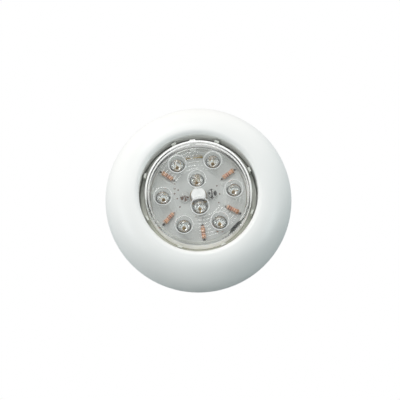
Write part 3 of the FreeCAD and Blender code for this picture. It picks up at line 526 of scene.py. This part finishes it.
# painted highlight on the beads round the bullseyes
bead_painted_highlight = moulded_plastic("bead_highlight_white", (0.80, 0.81, 0.80), (0.72, 0.73, 0.72), 0.2, 0.35)
# painted glow on the frosted side and tab of the lens
side_frost_painted_glow = frosted_with_painted_glow("side_frost_painted_glow", 0.3, 0.24)
tab_frost_painted_glow = frosted_with_painted_glow("tab_frost_painted_glow", 0.0, 0.2)
# colours of the painted shade strips in the lens's side, in the rubber finish; the black one paints a
# dark reflection
painted_shade_finishes = {
    "black": rubber("painted_reflection_black", (0.02, 0.022, 0.02), (0.04, 0.045, 0.04), 0.4, 0.6),
    "olive": rubber("painted_shade_olive", (0.16, 0.15, 0.09), (0.26, 0.24, 0.15), 0.4, 0.6),
    "grey": rubber("painted_shade_grey", (0.10, 0.105, 0.10), (0.15, 0.155, 0.15), 0.4, 0.6),
}
rim_painted_shade = moulded_plastic("rim_painted_shade", (0.16, 0.165, 0.16), (0.10, 0.105, 0.10), 0.25, 0.4)
gold = bare_metal("diode_gold", (0.85, 0.6, 0.25), (0.7, 0.45, 0.15), 0.15, 0.3)
solder = bare_metal("pad_solder", (0.72, 0.72, 0.70), (0.55, 0.55, 0.53), 0.25, 0.4)
# copper colour, also used for the painted shadows of the wire links
copper = moulded_plastic("copper_and_painted_shadow", (0.30, 0.14, 0.05), (0.20, 0.09, 0.03), 0.3, 0.5)
pad_hole_painted_shade = moulded_plastic("pad_hole_painted_shade", (0.12, 0.04, 0.015), (0.07, 0.025, 0.01), 0.4, 0.6)
# black for the leaves in a pilot part, and painted shade in the mouths of the lead holes
leaf_black_and_hole_shade = moulded_plastic("leaf_black_and_hole_shade", (0.012, 0.011, 0.010), (0.006, 0.006, 0.006), 0.5, 0.7)
pilot_grey = moulded_plastic("pilot_grey", (0.72, 0.73, 0.71), (0.62, 0.63, 0.61), 0.3, 0.5)
pilot_brown = moulded_plastic("pilot_brown", (0.16, 0.07, 0.03), (0.09, 0.04, 0.02), 0.3, 0.5)
phosphor_yellow = moulded_plastic("phosphor_yellow", (0.34, 0.23, 0.09), (0.22, 0.13, 0.05), 0.35, 0.5)
light_board = circuit_board("light_board", (0.585, 0.60, 0.585), (0.53, 0.545, 0.535), LIGHT_MASK)
power_board = circuit_board("power_board", (0.03, 0.16, 0.06), (0.02, 0.11, 0.04), POWER_MASK)

finishes = {
    "trim_abs": trim_white,
    "body_abs": body_white,
    "ring_abs": ring_white,
    "clear_polycarbonate": lens_clear,
    "clear_epoxy": epoxy_clear,
    "seal_rubber": seal_black,
    "lens_silicone": seal_white,
    "board_laminate": light_board,
    "power_laminate": power_board,
    "tinned_wire": tinned,
    "stainless": stainless,
    "moulded_epoxy": compound_black,
    "capacitor_sleeve": sleeve_blue,
    "terminal_nylon": terminal_green,
    "wire_insulation": wire_white,
    "gland_nylon": gland_grey,
}
slots = {part["node"]: part["material_slot"] for part in frame["record"]["subparts"]}
special = {"resistor_leads": lead_wire_painted_shade, "board_jumpers": link_wire, "center_post": post_white}
for name, node in frame["nodes"].items():
    if slots[name] == "resistor_lacquer":
        finish = banded_lacquer(name)
    else:
        finish = special.get(name, finishes[slots[name]])
    for slot in node.material_slots:
        slot.material = finish


# ---------------------------------------------------------------- small parts on the light board

def lathed(profile, segments=32):
    """A closed surface of revolution about local Z, from (radius, height) points in mm."""
    verts = []
    faces = []
    rings = []
    for radius, height in profile:
        if radius < 1e-6:
            rings.append([len(verts)] * segments)
            verts.append((0, 0, height))
            continue
        rings.append(list(range(len(verts), len(verts) + segments)))
        for i in range(segments):
            angle = 2 * math.pi * i / segments
            verts.append((radius * math.cos(angle), radius * math.sin(angle), height))
    for lower, upper in zip(rings, rings[1:] + rings[:1]):
        for i in range(segments):
            j = (i + 1) % segments
            corners = list(dict.fromkeys((lower[i], lower[j], upper[j], upper[i])))
            if len(corners) > 2:
                faces.append(corners)
    return verts, faces


def closed_loop(rings):
    """Joins closed sections, one after another and the last to the first."""
    count = len(rings[0])
    verts = [corner for ring in rings for corner in ring]
    faces = []
    for i in range(len(rings)):
        here = i * count
        there = (i + 1) % len(rings) * count
        faces += [(here + j, here + (j + 1) % count, there + (j + 1) % count, there + j)
                  for j in range(count)]
    return verts, faces


def swept(rings):
    """Joins closed sections one after another and caps both ends."""
    count = len(rings[0])
    verts = [corner for ring in rings for corner in ring]
    faces = [list(range(count)), list(range(len(verts) - count, len(verts)))]
    for i in range(len(rings) - 1):
        here = i * count
        faces += [(here + j, here + (j + 1) % count, here + count + (j + 1) % count, here + count + j)
                  for j in range(count)]
    return verts, faces


def plate(corners, thickness, bevel=0.06):
    """A flat stamping in the local XZ plane, its edges slightly rounded over."""
    middle = [sum(c[k] for c in corners) / len(corners) for k in (0, 1)]
    small = [tuple(c[k] + (middle[k] - c[k]) * bevel for k in (0, 1)) for c in corners]
    half = thickness / 2
    layers = [(small, -half), (corners, -half * 0.7), (corners, half * 0.7), (small, half)]
    verts = [(x, y, z) for ring, y in layers for x, z in ring]
    count = len(corners)
    faces = [list(range(count))[::-1], list(range(3 * count, 4 * count))]
    for layer in range(3):
        for i in range(count):
            j = (i + 1) % count
            base = layer * count
            faces.append((base + i, base + j, base + count + j, base + count + i))
    return verts, faces


def tube(points, radius):
    """A round wire through points in mm."""
    sides = 10
    points = [Vector(p) for p in points]
    verts = []
    faces = []
    across = Vector((0, 1, 0))
    for index, point in enumerate(points):
        ahead = points[min(index + 1, len(points) - 1)]
        behind = points[max(index - 1, 0)]
        along = (ahead - behind).normalized()
        first = across.cross(along).normalized()
        second = along.cross(first)
        for i in range(sides):
            angle = 2 * math.pi * i / sides
            verts.append(tuple(point + (first * math.cos(angle) + second * math.sin(angle)) * radius))
    for ring in range(len(points) - 1):
        for i in range(sides):
            j = (i + 1) % sides
            base = ring * sides
            faces.append((base + i, base + j, base + sides + j, base + sides + i))
    last = (len(points) - 1) * sides
    faces.append(tuple(range(sides))[::-1])
    faces.append(tuple(range(last, last + sides)))
    return verts, faces


def standing(x, z, y, turn):
    """Local X outward along the angle turn, local Z towards the lens, origin at (x, y, z) in metres."""
    angle = math.radians(turn)
    out = Vector((math.cos(angle), 0, math.sin(angle)))
    forward = Vector((0, -1, 0))
    side = forward.cross(out)
    axes = Matrix((out, side, forward)).transposed().to_4x4()
    return Matrix.Translation((x, y, z)) @ axes @ Matrix.Scale(MM, 4)


def piece(name, chunks, place, material):
    """One visible part of the lamp body, made of several chunks of mesh."""
    verts = []
    faces = []
    for chunk_verts, chunk_faces in chunks:
        faces += [[len(verts) + i for i in face] for face in chunk_faces]
        verts += chunk_verts
    mesh = bpy.data.meshes.new(name)
    mesh.from_pydata(verts, [], faces)
    mesh.transform(place)
    mesh.validate()
    work = bmesh.new()
    work.from_mesh(mesh)
    bmesh.ops.recalc_face_normals(work, faces=work.faces)
    work.to_mesh(mesh)
    work.free()
    mesh.materials.append(material)
    mesh.polygons.foreach_set("use_smooth", [True] * len(mesh.polygons))
    mesh.set_sharp_from_angle(angle=math.radians(SHARP_EDGE))
    made = bpy.data.objects.new(name, mesh)
    bpy.context.scene.collection.objects.link(made)
    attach(made, "housing")


def diode_core(number):
    """What shows inside a clear diode: lead frame with its cup, a dark rim of painted shade round the
    cup, phosphor and bond wire.
    """
    x, z, turn, base = axis_of("led_%d" % number)
    place = standing(x, z, base, turn)
    anvil = plate([(-1.55, 0.35), (-1.0, 0.35), (-0.95, 2.6), (0.3, 4.0), (0.5, CUP_FLOOR - 0.4),
                   (-0.5, CUP_FLOOR - 0.3), (-1.1, CUP_FLOOR - 0.4), (-1.55, CUP_FLOOR - 1.0)],
                  FRAME_THICK)
    post = plate([(1.0, 0.35), (1.55, 0.35), (1.7, 3.2), (1.6, 4.3), (1.45, 4.4), (1.25, 3.2)],
                 FRAME_THICK)
    dish = [(0.45, CUP_FLOOR), (0.9, CUP_FLOOR + 0.12), (1.3, CUP_FLOOR + 0.36), (1.65, CUP_FLOOR + 0.7),
            (1.95, CUP_FLOOR + 1.12), (2.1, CUP_FLOOR + 1.38)]
    cup = lathed([(0.0, CUP_FLOOR - 0.3), (0.9, CUP_FLOOR - 0.3), (CUP_R, CUP_FLOOR + 1.1),
                  (CUP_R, CUP_FLOOR + 1.38), *dish[::-1], (0.0, CUP_FLOOR)], 48)
    piece("diode_frame_%d" % number, [anvil, post, cup], place, silver)
    # a dark ring of painted shade round the cup
    rim = lathed([(2.15, CUP_FLOOR + 0.4), (2.38, CUP_FLOOR + 0.4), (2.36, CUP_FLOOR + 0.95),
                  (2.24, CUP_FLOOR + 1.42), (2.15, CUP_FLOOR + 1.4)], 48)
    piece("diode_shade_rim_%d" % number, [rim], place, rim_painted_shade)
    phosphor = lathed([(0.0, CUP_FLOOR + 0.02), (0.3, CUP_FLOOR + 0.02), (0.32, CUP_FLOOR + 0.15),
                       (0.2, CUP_FLOOR + 0.25), (0.0, CUP_FLOOR + 0.28)])
    piece("diode_phosphor_%d" % number, [phosphor], place, phosphor_yellow)
    wire = tube([(0.1, 0, CUP_FLOOR + 0.3), (0.25, 0, CUP_FLOOR + 0.75), (0.6, 0, CUP_FLOOR + 0.95),
                 (0.95, 0, CUP_FLOOR + 0.8), (1.1, 0, CUP_FLOOR + 0.5)], 0.06)
    piece("diode_bond_wire_%d" % number, [wire], place, gold)


def bullseye_highlight_bead(number):
    """A white ring of painted highlight on the crest of the bead that runs round a bullseye on the lens.
    """
    x, z, turn = axis_of("led_%d" % number)[:3]
    crest = lathed([(BEAD_R + 0.2, BEAD_HEIGHT - 0.1), (BEAD_R + 0.14, BEAD_HEIGHT),
                    (BEAD_R, BEAD_HEIGHT + 0.04), (BEAD_R - 0.14, BEAD_HEIGHT),
                    (BEAD_R - 0.2, BEAD_HEIGHT - 0.1)], 64)
    piece("bullseye_bead_%d" % number, [crest], standing(x, z, lens_face, turn), bead_painted_highlight)


def optic_ring(number, radius):
    """The frosted crest of one of the lens's shallow prism rings.

    It stops at the pads behind the bullseyes, so it is a closed loop or several runs.
    """
    steps = 240
    section = [(-0.26, 0.0), (-0.16, -0.05), (0.0, -0.08), (0.16, -0.05), (0.26, 0.0), (0.0, 0.01)]
    rings = []
    shown = []
    for i in range(steps):
        turn = 2 * math.pi * i / steps
        x = radius * math.cos(turn)
        z = radius * math.sin(turn)
        rings.append([((radius + r) * math.cos(turn), (radius + r) * math.sin(turn), h)
                      for r, h in section])
        shown.append(all(math.hypot(x - diode_x / MM, z - diode_z / MM) > BULLSEYE_PAD_R
                         for diode_x, diode_z in diode_axes))
    if all(shown):
        chunks = [closed_loop(rings)]
    else:
        runs = [[]]
        first = shown.index(False)
        for i in [*range(first, steps), *range(first)]:
            if shown[i]:
                runs[-1].append(rings[i])
            elif runs[-1]:
                runs.append([])
        chunks = [swept(run) for run in runs if len(run) > 2]
    piece("optic_ring_%d" % number, chunks, standing(0, 0, lens_inner_face, 0), ring_frost)


def pilot_core(number, leaf_finish):
    """The pale base inside a short clear part beside the post, and the leaves that stand on it."""
    x, z, turn, base = axis_of("pilot_led_%d" % number)
    place = standing(x, z, base, turn + 90)
    seat = lathed([(0.0, 0.2), (2.0, 0.2), (2.15, 0.35), (2.15, 0.9), (1.95, 1.05), (0.0, 0.95)])
    piece("pilot_base_%d" % number, [seat], place, pilot_grey)
    for index, (offset, half_width, top) in enumerate(PILOT_LEAVES[number]):
        verts, faces = plate([(-half_width, 0.8), (half_width, 0.8), (half_width, top - 0.3),
                              (half_width - 0.25, top), (0.25 - half_width, top),
                              (-half_width, top - 0.3)], FRAME_THICK)
        moved = [(across, depth + offset, height) for across, depth, height in verts]
        piece("pilot_plate_%d_%d" % (number, index + 1), [(moved, faces)], place, leaf_finish)


def solder_pad(number, x, z, outer):
    """A tinned pad on the light board, with a dark brown disc of painted shade for the drilled hole in
    its middle.
    """
    place = standing(x, z, board_face, 0)
    pad = lathed([(outer, 0.0), (outer, 0.05), (outer - 0.12, 0.09), (0.48, 0.07), (0.44, 0.0)])
    piece("board_pad_%d" % number, [pad], place, solder)
    hole = lathed([(0.0, 0.0), (0.47, 0.0), (0.46, 0.06), (0.25, 0.04), (0.0, 0.03)], 20)
    piece("board_pad_hole_%d" % number, [hole], place, pad_hole_painted_shade)


def lead_hole_shade(number, x, z):
    """A dark disc of painted shade in the mouth of the hole that a resistor lead goes down."""
    mouth = lathed([(0.0, 0.0), (0.66, 0.0), (0.64, 0.05), (0.45, 0.08), (0.0, 0.06)], 24)
    piece("lead_hole_%d" % number, [mouth], standing(x, z, board_face, 0), leaf_black_and_hole_shade)


def lens_side_band():
    """The frosted skin on the lens's side, which carries a painted glow and painted shade. It rolls over
    the front edge above and stays off it below.
    """
    segments = 160
    least_roll = 25
    most_roll = 85
    blend_from = 0.45
    skin_r = LENS_EDGE_R + SKIN
    roll_r = LENS_EDGE_R - SKIN_ROUND
    rings = []
    for i in range(segments):
        turn = 2 * math.pi * i / segments
        upper = min(1.0, max(0.0, (math.sin(turn) + blend_from) / blend_from))
        smooth = upper * upper * (3 - 2 * upper)
        roll = math.radians(least_roll + (most_roll - least_roll) * smooth)
        outside = [(skin_r, -SKIN_DEPTH), (skin_r, -SKIN_ROUND)]
        outside += [(roll_r + (SKIN_ROUND + SKIN) * math.cos(roll * k / 6),
                     -SKIN_ROUND + (SKIN_ROUND + SKIN) * math.sin(roll * k / 6)) for k in range(1, 7)]
        last_r, last_h = outside[-1]
        inside = [(last_r - 0.03, last_h - 0.08),
                  ((last_r + skin_r) / 2 - 0.1, (last_h - SKIN_ROUND) / 2 - 0.1),
                  (LENS_EDGE_R - 0.1, -SKIN_ROUND - 0.1), (LENS_EDGE_R - 0.1, -SKIN_DEPTH)]
        rings.append([(r * math.cos(turn), r * math.sin(turn), h) for r, h in outside + inside])
    piece("lens_side_frost", [closed_loop(rings)], standing(0, 0, lens_face, 0), side_frost_painted_glow)


def lens_tab():
    """A small tab on the side of the lens, near its face, that its mould gate leaves. It carries a
    painted glow.
    """
    half = 1.7
    root = LENS_EDGE_R - 0.3
    tip = LENS_EDGE_R + 0.75
    back = -2.6
    front = -0.9
    outline = [(root, -half), (tip - 0.2, -half), (tip, -half + 0.25), (tip, half - 0.25),
               (tip - 0.2, half), (root, half)]
    verts = [(out, side, back) for out, side in outline]
    verts += [(out - 0.15, side * 0.9, front) for out, side in outline]
    count = len(outline)
    faces = [list(range(count)), list(range(count, 2 * count))]
    faces += [(i, (i + 1) % count, count + (i + 1) % count, count + i) for i in range(count)]
    piece("lens_tab_1", [(verts, faces)], standing(0, 0, lens_face, TAB_TURN), tab_frost_painted_glow)


def board_gap_painted_shade():
    """A black crescent of painted shade that stands between the flat of the light board and the lens
    wall.
    """
    steps = 24
    rings = []
    for i in range(steps + 1):
        share = 2.0 * i / steps - 1
        angle = math.radians(WEDGE_TURN + WEDGE_HALF_SPAN * share)
        inside = WEDGE_OUTER_R - (WEDGE_OUTER_R - WEDGE_INNER_R) * (1 - abs(share) ** 1.6) - 0.04
        top = WEDGE_RISE * (1 - 0.35 * share * share)
        section = [(inside, 0.02), (inside + 0.02, top - 0.15), (inside + 0.12, top),
                   (WEDGE_OUTER_R - 0.12, top), (WEDGE_OUTER_R, top - 0.15), (WEDGE_OUTER_R, 0.02)]
        rings.append([(r * math.cos(angle), r * math.sin(angle), h) for r, h in section])
    # seal_black here paints the shade in the gap
    piece("board_gap_painted_shade", [swept(rings)], standing(0, 0, board_face, 0), seal_black)


def painted_shade_strip(number, start, stop, low, high, colour):
    """A thin strip of painted shade in the lens's side, under the frosted skin, that thins out towards
    both ends.
    """
    steps = 30
    inner_r = STRIP_R - STRIP_THICK
    middle = (high + low) / 2
    rings = []
    for i in range(steps + 1):
        share = 2.0 * i / steps - 1
        angle = math.radians(start + (stop - start) * i / steps)
        half = (high - low) / 2 * max(0.12, 1 - abs(share) ** 2.2)
        section = [(STRIP_R, middle - half), (STRIP_R, middle + half),
                   (inner_r, middle + half), (inner_r, middle - half)]
        rings.append([(r * math.cos(angle), r * math.sin(angle), h) for r, h in section])
    piece("lens_wall_strip_%d" % number, [swept(rings)], standing(0, 0, lens_face, 0),
          painted_shade_finishes[colour])


def board_track_and_shadow(number, middle, radius, start, span, width):
    """A short curved strip of copper colour on the front of the light board, about a point in mm, used
    for a copper track and for the painted shadows of the wire links.
    """
    steps = 14
    outline = []
    for side, order in ((-1, range(steps + 1)), (1, range(steps, -1, -1))):
        for i in order:
            angle = math.radians(start + span * i / steps)
            reach = radius + side * width / 2
            outline.append((middle[0] + reach * math.cos(angle), middle[1] + reach * math.sin(angle)))
    verts, faces = plate(outline, 0.05, 0.0)
    quads = []
    count = len(outline)
    for layer in (0, 3):
        for i in range(steps):
            j = count - 1 - i
            quads.append([layer * count + k for k in (i, i + 1, j - 1, j)])
    place = Matrix.Translation((0, board_face - 0.03 * MM, 0)) @ Matrix.Scale(MM, 4)
    piece("board_trace_%d" % number, [(verts, quads + faces[2:])], place, copper)


def board_pads():
    """A column of large pads left of the middle, and three small ones beyond each pilot part."""
    pads = [(PAD_COLUMN[0] * MM, PAD_COLUMN[1] * MM + row * GRID * MM, PAD_R)
            for row in range(PAD_COLUMN_ROWS)]
    for node in ("pilot_led_1", "pilot_led_2"):
        x, z, turn = axis_of(node)[:3]
        reach = math.hypot(x, z) + PILOT_PAD_REACH * MM
        for step in (-1, 0, 1):
            angle = math.radians(turn + step * PILOT_PAD_TURN)
            pads.append((reach * math.cos(angle), reach * math.sin(angle), PILOT_PAD_R))
    for number, (x, z, outer) in enumerate(pads):
        solder_pad(number + 1, x, z, outer)


def link_painted_shadows():
    """A painted shadow of copper colour beside each wire link, further out from the optical axis."""
    for number, link in enumerate(islands("board_jumpers")):
        xs = [p.x / MM for p in link]
        zs = [p.z / MM for p in link]
        x = (min(xs) + max(xs)) / 2
        z = (min(zs) + max(zs)) / 2
        reach = math.hypot(x, z) + LINK_SHADOW_REACH
        turn = math.degrees(math.atan2(z, x))
        span = math.degrees((max(xs) - min(xs) - LINK_SHADOW_TRIM) / reach)
        board_track_and_shadow(number + 2, (0.0, 0.0), reach, turn - span / 2, span, LINK_SHADOW_WIDTH)


def lead_holes():
    """A disc of painted shade in the mouth of the hole where each resistor lead goes through the light
    board.
    """
    for number, lead in enumerate(islands("resistor_leads")):
        inside = [p for p in lead if p.y > board_face]
        centre = sum(inside, Vector()) / len(inside)
        lead_hole_shade(number + 1, centre.x, centre.z)


def diode_trace():
    """A copper track round the foot of the diode at the lower right."""
    x, z = axis_of("led_6")[:2]
    board_track_and_shadow(1, (x / MM, z / MM), DIODE_TRACE_R, DIODE_TRACE_START, DIODE_TRACE_SPAN,
                DIODE_TRACE_WIDTH)


lens_side_band()
lens_tab()
for number in DIODES:
    diode_core(number)
    bullseye_highlight_bead(number)
pilot_core(1, leaf_black_and_hole_shade)
pilot_core(2, pilot_brown)
for number in range(OPTIC_RINGS):
    optic_ring(number + 1, OPTIC_RING_R + number * OPTIC_RING_STEP)
board_pads()
board_gap_painted_shade()
for number, strip in enumerate(PAINTED_SHADE_STRIPS):
    painted_shade_strip(number + 1, *strip)
link_painted_shadows()
lead_holes()
diode_trace()


# ---------------------------------------------------------------- stage, light and camera

def area_light(name, place, size, power, colour):
    """A rectangular lamp that faces the origin."""
    light = bpy.data.lights.new(name, "AREA")
    light.shape = "RECTANGLE"
    light.size = size[0]
    light.size_y = size[1]
    light.energy = power
    light.color = colour
    lamp = bpy.data.objects.new(name, light)
    bpy.context.scene.collection.objects.link(lamp)
    lamp.location = place
    lamp.rotation_mode = "QUATERNION"
    lamp.rotation_quaternion = (-Vector(place)).to_track_quat("-Z", "Y")


def make_world():
    """A soft dome of light, brightest above and to the left; the camera itself sees plain white."""
    world = bpy.data.worlds.new("studio")
    world.use_nodes = True
    bpy.context.scene.world = world
    nodes = world.node_tree.nodes
    links = world.node_tree.links
    nodes.clear()
    place = nodes.new("ShaderNodeTexCoord")
    toward = nodes.new("ShaderNodeVectorMath")
    toward.operation = "DOT_PRODUCT"
    toward.inputs[1].default_value = Vector(SKY_TOWARD).normalized()
    ramp = nodes.new("ShaderNodeValToRGB")
    height = nodes.new("ShaderNodeMapRange")
    height.inputs["From Min"].default_value = -1.0
    lit = nodes.new("ShaderNodeBackground")
    seen = nodes.new("ShaderNodeBackground")
    mix = nodes.new("ShaderNodeMixShader")
    path = nodes.new("ShaderNodeLightPath")
    out = nodes.new("ShaderNodeOutputWorld")
    ramp.color_ramp.elements[0].position = 0.2
    ramp.color_ramp.elements[0].color = SKY_DARK
    ramp.color_ramp.elements[1].position = 0.8
    ramp.color_ramp.elements[1].color = SKY_BRIGHT
    ramp.color_ramp.elements.new(0.45).color = SKY_MIDDLE
    links.new(place.outputs["Generated"], toward.inputs[0])
    links.new(toward.outputs["Value"], height.inputs["Value"])
    links.new(height.outputs["Result"], ramp.inputs["Fac"])
    links.new(ramp.outputs["Color"], lit.inputs["Color"])
    lit.inputs["Strength"].default_value = SKY_STRENGTH
    seen.inputs["Color"].default_value = (1, 1, 1, 1)
    links.new(path.outputs["Is Camera Ray"], mix.inputs["Fac"])
    links.new(lit.outputs["Background"], mix.inputs[1])
    links.new(seen.outputs["Background"], mix.inputs[2])
    links.new(mix.outputs["Shader"], out.inputs["Surface"])


def make_floor():
    """A plain pale floor, well below the lamp."""
    height = cad_low.z - FLOOR_DROP
    mesh = bpy.data.meshes.new("floor")
    mesh.from_pydata([(x * FLOOR_HALF, y * FLOOR_HALF, height)
                      for x, y in ((-1, -1), (1, -1), (1, 1), (-1, 1))], [], [(0, 1, 2, 3)])
    floor = bpy.data.objects.new("floor", mesh)
    bpy.context.scene.collection.objects.link(floor)
    finish = Finish("floor_pale", (0.8, 0.8, 0.79), 0.7)
    finish.vary_colour(finish.noise(300, 2.0), (0.78, 0.78, 0.77), (0.82, 0.82, 0.81))
    mesh.materials.append(finish.material)


def make_camera():
    """A long lens that looks up at the lamp from below the optical axis.

    The bezel's width takes up FRAME_SHARE of the picture's.
    """
    bezel_low, bezel_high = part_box("bezel")
    seen_width = (bezel_high.x - bezel_low.x) / FRAME_SHARE
    camera = bpy.data.cameras.new("camera")
    camera.sensor_width = SENSOR_WIDTH
    camera.lens = SENSOR_WIDTH * CAMERA_DISTANCE / seen_width
    eye = bpy.data.objects.new("camera", camera)
    bpy.context.scene.collection.objects.link(eye)
    tilt = math.radians(CAMERA_ELEVATION)
    back = Vector((0, -math.cos(tilt), math.sin(tilt)))
    eye.location = Vector(CAMERA_AIM) + back * CAMERA_DISTANCE
    eye.rotation_mode = "QUATERNION"
    eye.rotation_quaternion = (-back).to_track_quat("-Z", "Y")
    bpy.context.scene.camera = eye


make_camera()
make_world()
make_floor()
for lamp in LAMPS:
    area_light(*lamp)
bpy.context.scene.view_settings.view_transform = "Standard"
